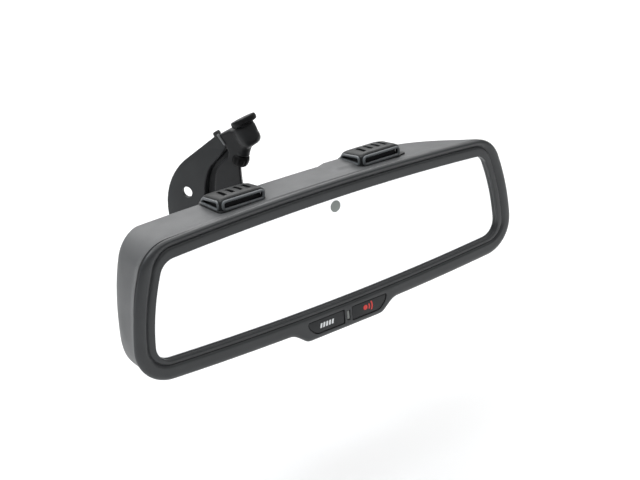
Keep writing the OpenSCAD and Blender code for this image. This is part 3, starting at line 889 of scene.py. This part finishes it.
def tint(tree, fac, a, b):
    mix = tree.nodes.new("ShaderNodeMix")
    mix.data_type = "RGBA"
    mix.inputs["A"].default_value = (*a, 1)
    mix.inputs["B"].default_value = (*b, 1)
    tree.links.new(fac, mix.inputs["Factor"])
    return mix.outputs["Result"]


def bump(tree, s, height, strength, distance):
    b = tree.nodes.new("ShaderNodeBump")
    b.inputs["Strength"].default_value = strength
    b.inputs["Distance"].default_value = distance
    tree.links.new(height, b.inputs["Height"])
    tree.links.new(b.outputs["Normal"], s.inputs["Normal"])


def moulded(name, rgb, rough, grain=0.35, relief=0.25, vary=0.12, coat=0.0, spec=0.5):
    """Moulded plastic: fine spark-eroded grain, faint cloudiness and uneven gloss."""
    m, tree, s = shader(name, rgb, rough, coat=coat, spec=spec)
    cloud = noise(tree, 38, 4)
    dark = [c * (1 - vary) for c in rgb]
    light = [c * (1 + vary) for c in rgb]
    tree.links.new(tint(tree, spread(tree, cloud, 0, 1), dark, light), s.inputs["Base Color"])
    tree.links.new(
        spread(tree, noise(tree, 90, 5), rough - 0.05, rough + 0.06), s.inputs["Roughness"]
    )
    cells = tree.nodes.new("ShaderNodeTexVoronoi")
    cells.inputs["Scale"].default_value = 1 / (grain * MM)
    coords = tree.nodes.new("ShaderNodeTexCoord")
    tree.links.new(coords.outputs["Object"], cells.inputs["Vector"])
    bump(tree, s, cells.outputs["Distance"], relief, 0.00004)
    return m


def metal(name, rgb, rough, brushed=False):
    m, tree, s = shader(name, rgb, rough, metal=1.0)
    grain = noise(tree, 900, 2, (1, 1, 18) if brushed else None)
    tree.links.new(spread(tree, grain, rough - 0.05, rough + 0.1), s.inputs["Roughness"])
    dark = [c * 0.86 for c in rgb]
    stain = spread(tree, noise(tree, 120, 4), 0, 1)
    tree.links.new(tint(tree, stain, dark, rgb), s.inputs["Base Color"])
    bump(tree, s, grain, 0.12, 0.00002)
    return m


def woven(name, rgb):
    """Acoustic cloth: two crossed waves make the threads."""
    m, tree, s = shader(name, rgb, 0.85)
    coords = tree.nodes.new("ShaderNodeTexCoord")
    waves = []
    for turn in (0.785, -0.785):
        place = tree.nodes.new("ShaderNodeMapping")
        place.inputs["Rotation"].default_value = (turn, turn, 0)
        w = tree.nodes.new("ShaderNodeTexWave")
        w.inputs["Scale"].default_value = 700
        w.inputs["Distortion"].default_value = 0.4
        tree.links.new(coords.outputs["Object"], place.inputs["Vector"])
        tree.links.new(place.outputs["Vector"], w.inputs["Vector"])
        waves.append(w.outputs["Fac"])
    both = tree.nodes.new("ShaderNodeMath")
    both.operation = "MULTIPLY"
    tree.links.new(waves[0], both.inputs[0])
    tree.links.new(waves[1], both.inputs[1])
    tree.links.new(
        tint(tree, both.outputs["Value"], [c * 0.5 for c in rgb], [c * 1.8 for c in rgb]),
        s.inputs["Base Color"],
    )
    bump(tree, s, both.outputs["Value"], 0.5, 0.0001)
    return m


def mirror_glass(name):
    """Silvered glass with the faintest smears in its gloss."""
    m, tree, s = shader(name, (0.96, 0.97, 0.975), 0.02, metal=1.0)
    tree.links.new(spread(tree, noise(tree, 45, 5), 0.008, 0.03), s.inputs["Roughness"])
    return m


def printed(name, rgb):
    m, tree, s = shader(name, rgb, 0.45)
    worn = spread(tree, noise(tree, 2600, 3), 0, 1)
    tree.links.new(tint(tree, worn, [c * 0.85 for c in rgb], rgb), s.inputs["Base Color"])
    return m


MATERIALS = {
    "arm_casting": moulded("arm_casting", (0.0115, 0.012, 0.013), 0.42, 0.3, 0.3, spec=0.3),
    "foot_steel": metal("foot_steel", (0.022, 0.022, 0.023), 0.45),
    "ball_steel": metal("ball_steel", (0.62, 0.63, 0.65), 0.16),
    "screw_steel": metal("screw_steel", (0.52, 0.53, 0.55), 0.3),
    "wing_plastic": moulded("wing_plastic", (0.024, 0.0255, 0.027), 0.5, 0.4, 0.3, spec=0.35),
    "liner_nylon": moulded("liner_nylon", (0.8, 0.79, 0.74), 0.45, 0.5, 0.1, 0.03),
    "cup_steel": metal("cup_steel", (0.45, 0.46, 0.48), 0.28, True),
    "housing_plastic": moulded("housing_plastic", (0.1, 0.102, 0.104), 0.5, 0.32, 0.3, 0.06),
    "bezel_plastic": moulded(
        "bezel_plastic", (0.03, 0.032, 0.034), 0.36, 0.3, 0.22, 0.1, spec=0.45
    ),
    "mirror_glass": mirror_glass("mirror_glass"),
    "seal": moulded("seal", (0.6, 0.61, 0.58), 0.7),
    "clip_brass": metal("clip_brass", (0.62, 0.5, 0.26), 0.3, True),
    "foam": moulded("foam", (0.03, 0.03, 0.03), 0.95, 0.8, 0.8),
    "carrier_plastic": moulded("carrier_plastic", (0.045, 0.047, 0.05), 0.5),
    "circuit_board": moulded("circuit_board", (0.02, 0.14, 0.07), 0.35, 1.1, 0.15, 0.2, 0.3),
    "chip_plastic": moulded("chip_plastic", (0.03, 0.03, 0.032), 0.5),
    "sensor_lens": moulded("sensor_lens", (0.26, 0.285, 0.27), 0.18, 0.9, 0.03, 0.05),
    "ambient_window": moulded("ambient_window", (0.05, 0.035, 0.035), 0.1, 0.9, 0.02, 0.1),
    "connector_plastic": moulded("connector_plastic", (0.02, 0.02, 0.022), 0.45),
    "pin_brass": metal("pin_brass", (0.7, 0.56, 0.25), 0.22),
    "pod_plastic": moulded("pod_plastic", (0.012, 0.013, 0.0135), 0.42, 0.3, 0.2, spec=0.32),
    "mesh_fabric": woven("mesh_fabric", (0.018, 0.018, 0.02)),
    "capsule_metal": metal("capsule_metal", (0.6, 0.6, 0.62), 0.3),
    "boot_rubber": moulded("boot_rubber", (0.02, 0.02, 0.02), 0.8),
    "button_plastic": moulded("button_plastic", (0.018, 0.0195, 0.021), 0.5, 0.28, 0.3, spec=0.35),
    "mat_silicone": moulded("mat_silicone", (0.3, 0.31, 0.32), 0.7),
    "light_pipe_clear": moulded("light_pipe_clear", (0.2, 0.21, 0.2), 0.2, 0.9, 0.03),
    "led_white": moulded("led_white", (0.85, 0.84, 0.75), 0.3, 0.9, 0.03),
}
# painted highlight: a light grey plastic for the collar rib, standing in for the light its edge catches
RIB_PAINTED_HIGHLIGHT = moulded("rib_painted_highlight", (0.16, 0.165, 0.17), 0.4)
# painted highlight: a light bluish grey plastic for the pods' window lips, standing in for the light their rounded
# edges catch
POD_LIP_PAINTED_HIGHLIGHT = moulded("pod_lip_painted_highlight", (0.12, 0.13, 0.138), 0.32, spec=0.6)
# painted shade: a near-black copy of the arm casting for the screw boss, which sits in shade under the drum
CASTING_PAINTED_SHADE = moulded("casting_painted_shade", (0.003, 0.003, 0.0033), 0.5, 0.3, 0.3, spec=0.15)
WHITE_INK = printed("white_ink", (0.86, 0.88, 0.89))
RED_INK = printed("red_ink", (0.78, 0.045, 0.035))


def finish(obj, body, slot, nodes=(), material=None):
    """Colours a piece, ties it to its body and hides the CAD nodes it stands for."""
    obj.data.materials.clear()
    obj.data.materials.append(material or MATERIALS[slot])
    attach(obj, body)
    if nodes:
        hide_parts(*nodes)
    return obj


# ---------------------------------------------------------------- assembly

for part in frame["record"]["subparts"]:
    node = frame["nodes"][part["node"]]
    node.data.materials.clear()
    node.data.materials.append(MATERIALS[part["material_slot"]])

shell, skirt = front_bezel()
finish(shell, "head", "bezel_plastic", ["front_bezel"])
finish(skirt, "head", "bezel_plastic")
finish(rear_housing(), "head", "housing_plastic", ["rear_housing"])
for side, x in zip(("left", "right"), POD_X):
    cover, lips, flange, cloth = pod("pod_cover_" + side, x)
    finish(cover, "head", "pod_plastic", ["pod_" + side])
    # the lips' lighter plastic is a painted highlight
    finish(lips, "head", "pod_plastic", material=POD_LIP_PAINTED_HIGHLIGHT)
    finish(flange, "head", "pod_plastic")
    finish(cloth, "head", "mesh_fabric", ["pod_mesh_" + side])
for name, side in (("left", -1), ("right", 1)):
    finish(button("key_" + name, side), name + "_button", "button_plastic", ["button_" + name])
for name, body, shapes, ink in (
    ("bars_mark", "left_button", slanted_bars(), WHITE_INK),
    ("signal_mark", "right_button", signal_mark(), RED_INK),
):
    bm = bmesh.new()
    flat_mark(bm, shapes, 0.31)
    finish(make(name, bm, HEAD_FRAME), body, "button_plastic", material=ink)
finish(light_bar(), "head", "light_pipe_clear", ["light_pipe"])
finish(sensor_eye(), "head", "sensor_lens", ["glare_sensor"])
finish(mount_arm(), "mount", "arm_casting", ["mount_arm"])
# the boss takes the near-black copy of the casting, a painted shade
finish(screw_boss(), "mount", "arm_casting", ["set_screw"], CASTING_PAINTED_SHADE)
finish(cable_wing(), "mount", "wing_plastic", ["cable_wing"])
# the rib's lighter plastic is a painted highlight
finish(collar_rib(), "mount", "wing_plastic", material=RIB_PAINTED_HIGHLIGHT)
finish(foot(), "mount", "foot_steel", ["windshield_foot"])

# ---------------------------------------------------------------- camera, light and floor

CAMERA_AZIMUTH, CAMERA_ELEVATION, CAMERA_ROLL = 34.87, 22.0, -4.7
CAMERA_DISTANCE, CAMERA_LENS = 640.5, 66.2
CAMERA_TARGET = (-14.2, 0, 10.1)
# Metres from the part's lowest point down to the floor
FLOOR_DROP = 0.09


def camera():
    az, el, roll = (math.radians(v) for v in (CAMERA_AZIMUTH, CAMERA_ELEVATION, CAMERA_ROLL))
    ahead = Vector((math.sin(az) * math.cos(el), math.cos(az) * math.cos(el), -math.sin(el)))
    right = ahead.cross(Vector((0, 0, 1))).normalized()
    up = right.cross(ahead)
    c, s = math.cos(roll), math.sin(roll)
    right, up = right * c + up * s, up * c - right * s
    target = HEAD_FRAME @ Vector(CAMERA_TARGET)
    turn = Matrix((right, up, -ahead)).transposed().to_4x4()
    cam = bpy.data.cameras.new("camera")
    cam.lens = CAMERA_LENS
    cam.sensor_width = 36
    cam.clip_end = 50
    obj = bpy.data.objects.new("camera", cam)
    obj.matrix_world = Matrix.Translation(target - ahead * CAMERA_DISTANCE * MM) @ turn
    bpy.context.scene.collection.objects.link(obj)
    bpy.context.scene.camera = obj


def softbox(name, at, look, size, power, tone=(1, 1, 1)):
    light = bpy.data.lights.new(name, "AREA")
    light.shape = "RECTANGLE"
    light.size, light.size_y = size
    light.energy = power
    light.color = tone
    obj = bpy.data.objects.new(name, light)
    obj.location = at
    obj.rotation_euler = (Vector(look) - Vector(at)).to_track_quat("-Z", "Y").to_euler()
    bpy.context.scene.collection.objects.link(obj)


def studio():
    low = cad_box[0].z - FLOOR_DROP
    bm = bmesh.new()
    bmesh.ops.create_grid(bm, x_segments=8, y_segments=8, size=6)
    floor = make("floor", bm, Matrix.Translation((0, 0, low)))
    m, tree, s = shader("floor_white", (0.93, 0.93, 0.93), 0.9, spec=0.1)
    white = tint(tree, noise(tree, 3, 2), (0.92, 0.92, 0.92), (0.94, 0.94, 0.94))
    tree.links.new(white, s.inputs["Base Color"])
    floor.data.materials.append(m)
    world = bpy.data.worlds.new("studio")
    world.use_nodes = True
    sky = world.node_tree.nodes["Background"]
    sky.inputs["Color"].default_value = (1, 1, 1, 1)
    sky.inputs["Strength"].default_value = 0.34
    bpy.context.scene.world = world
    softbox("key", (-1.0, 0.2, 1.3), HEAD, (0.7, 0.7), 9, (0.9, 0.96, 1))
    softbox("back", (1.4, 2.8, 1.8), (1.4, 2.8, 0), (3, 3), 60)
    softbox("ceiling", (0.6, 0.9, 2.3), (0.6, 0.9, 0), (5, 5), 104)
    bpy.context.scene.view_settings.view_transform = "Standard"


camera()
studio()
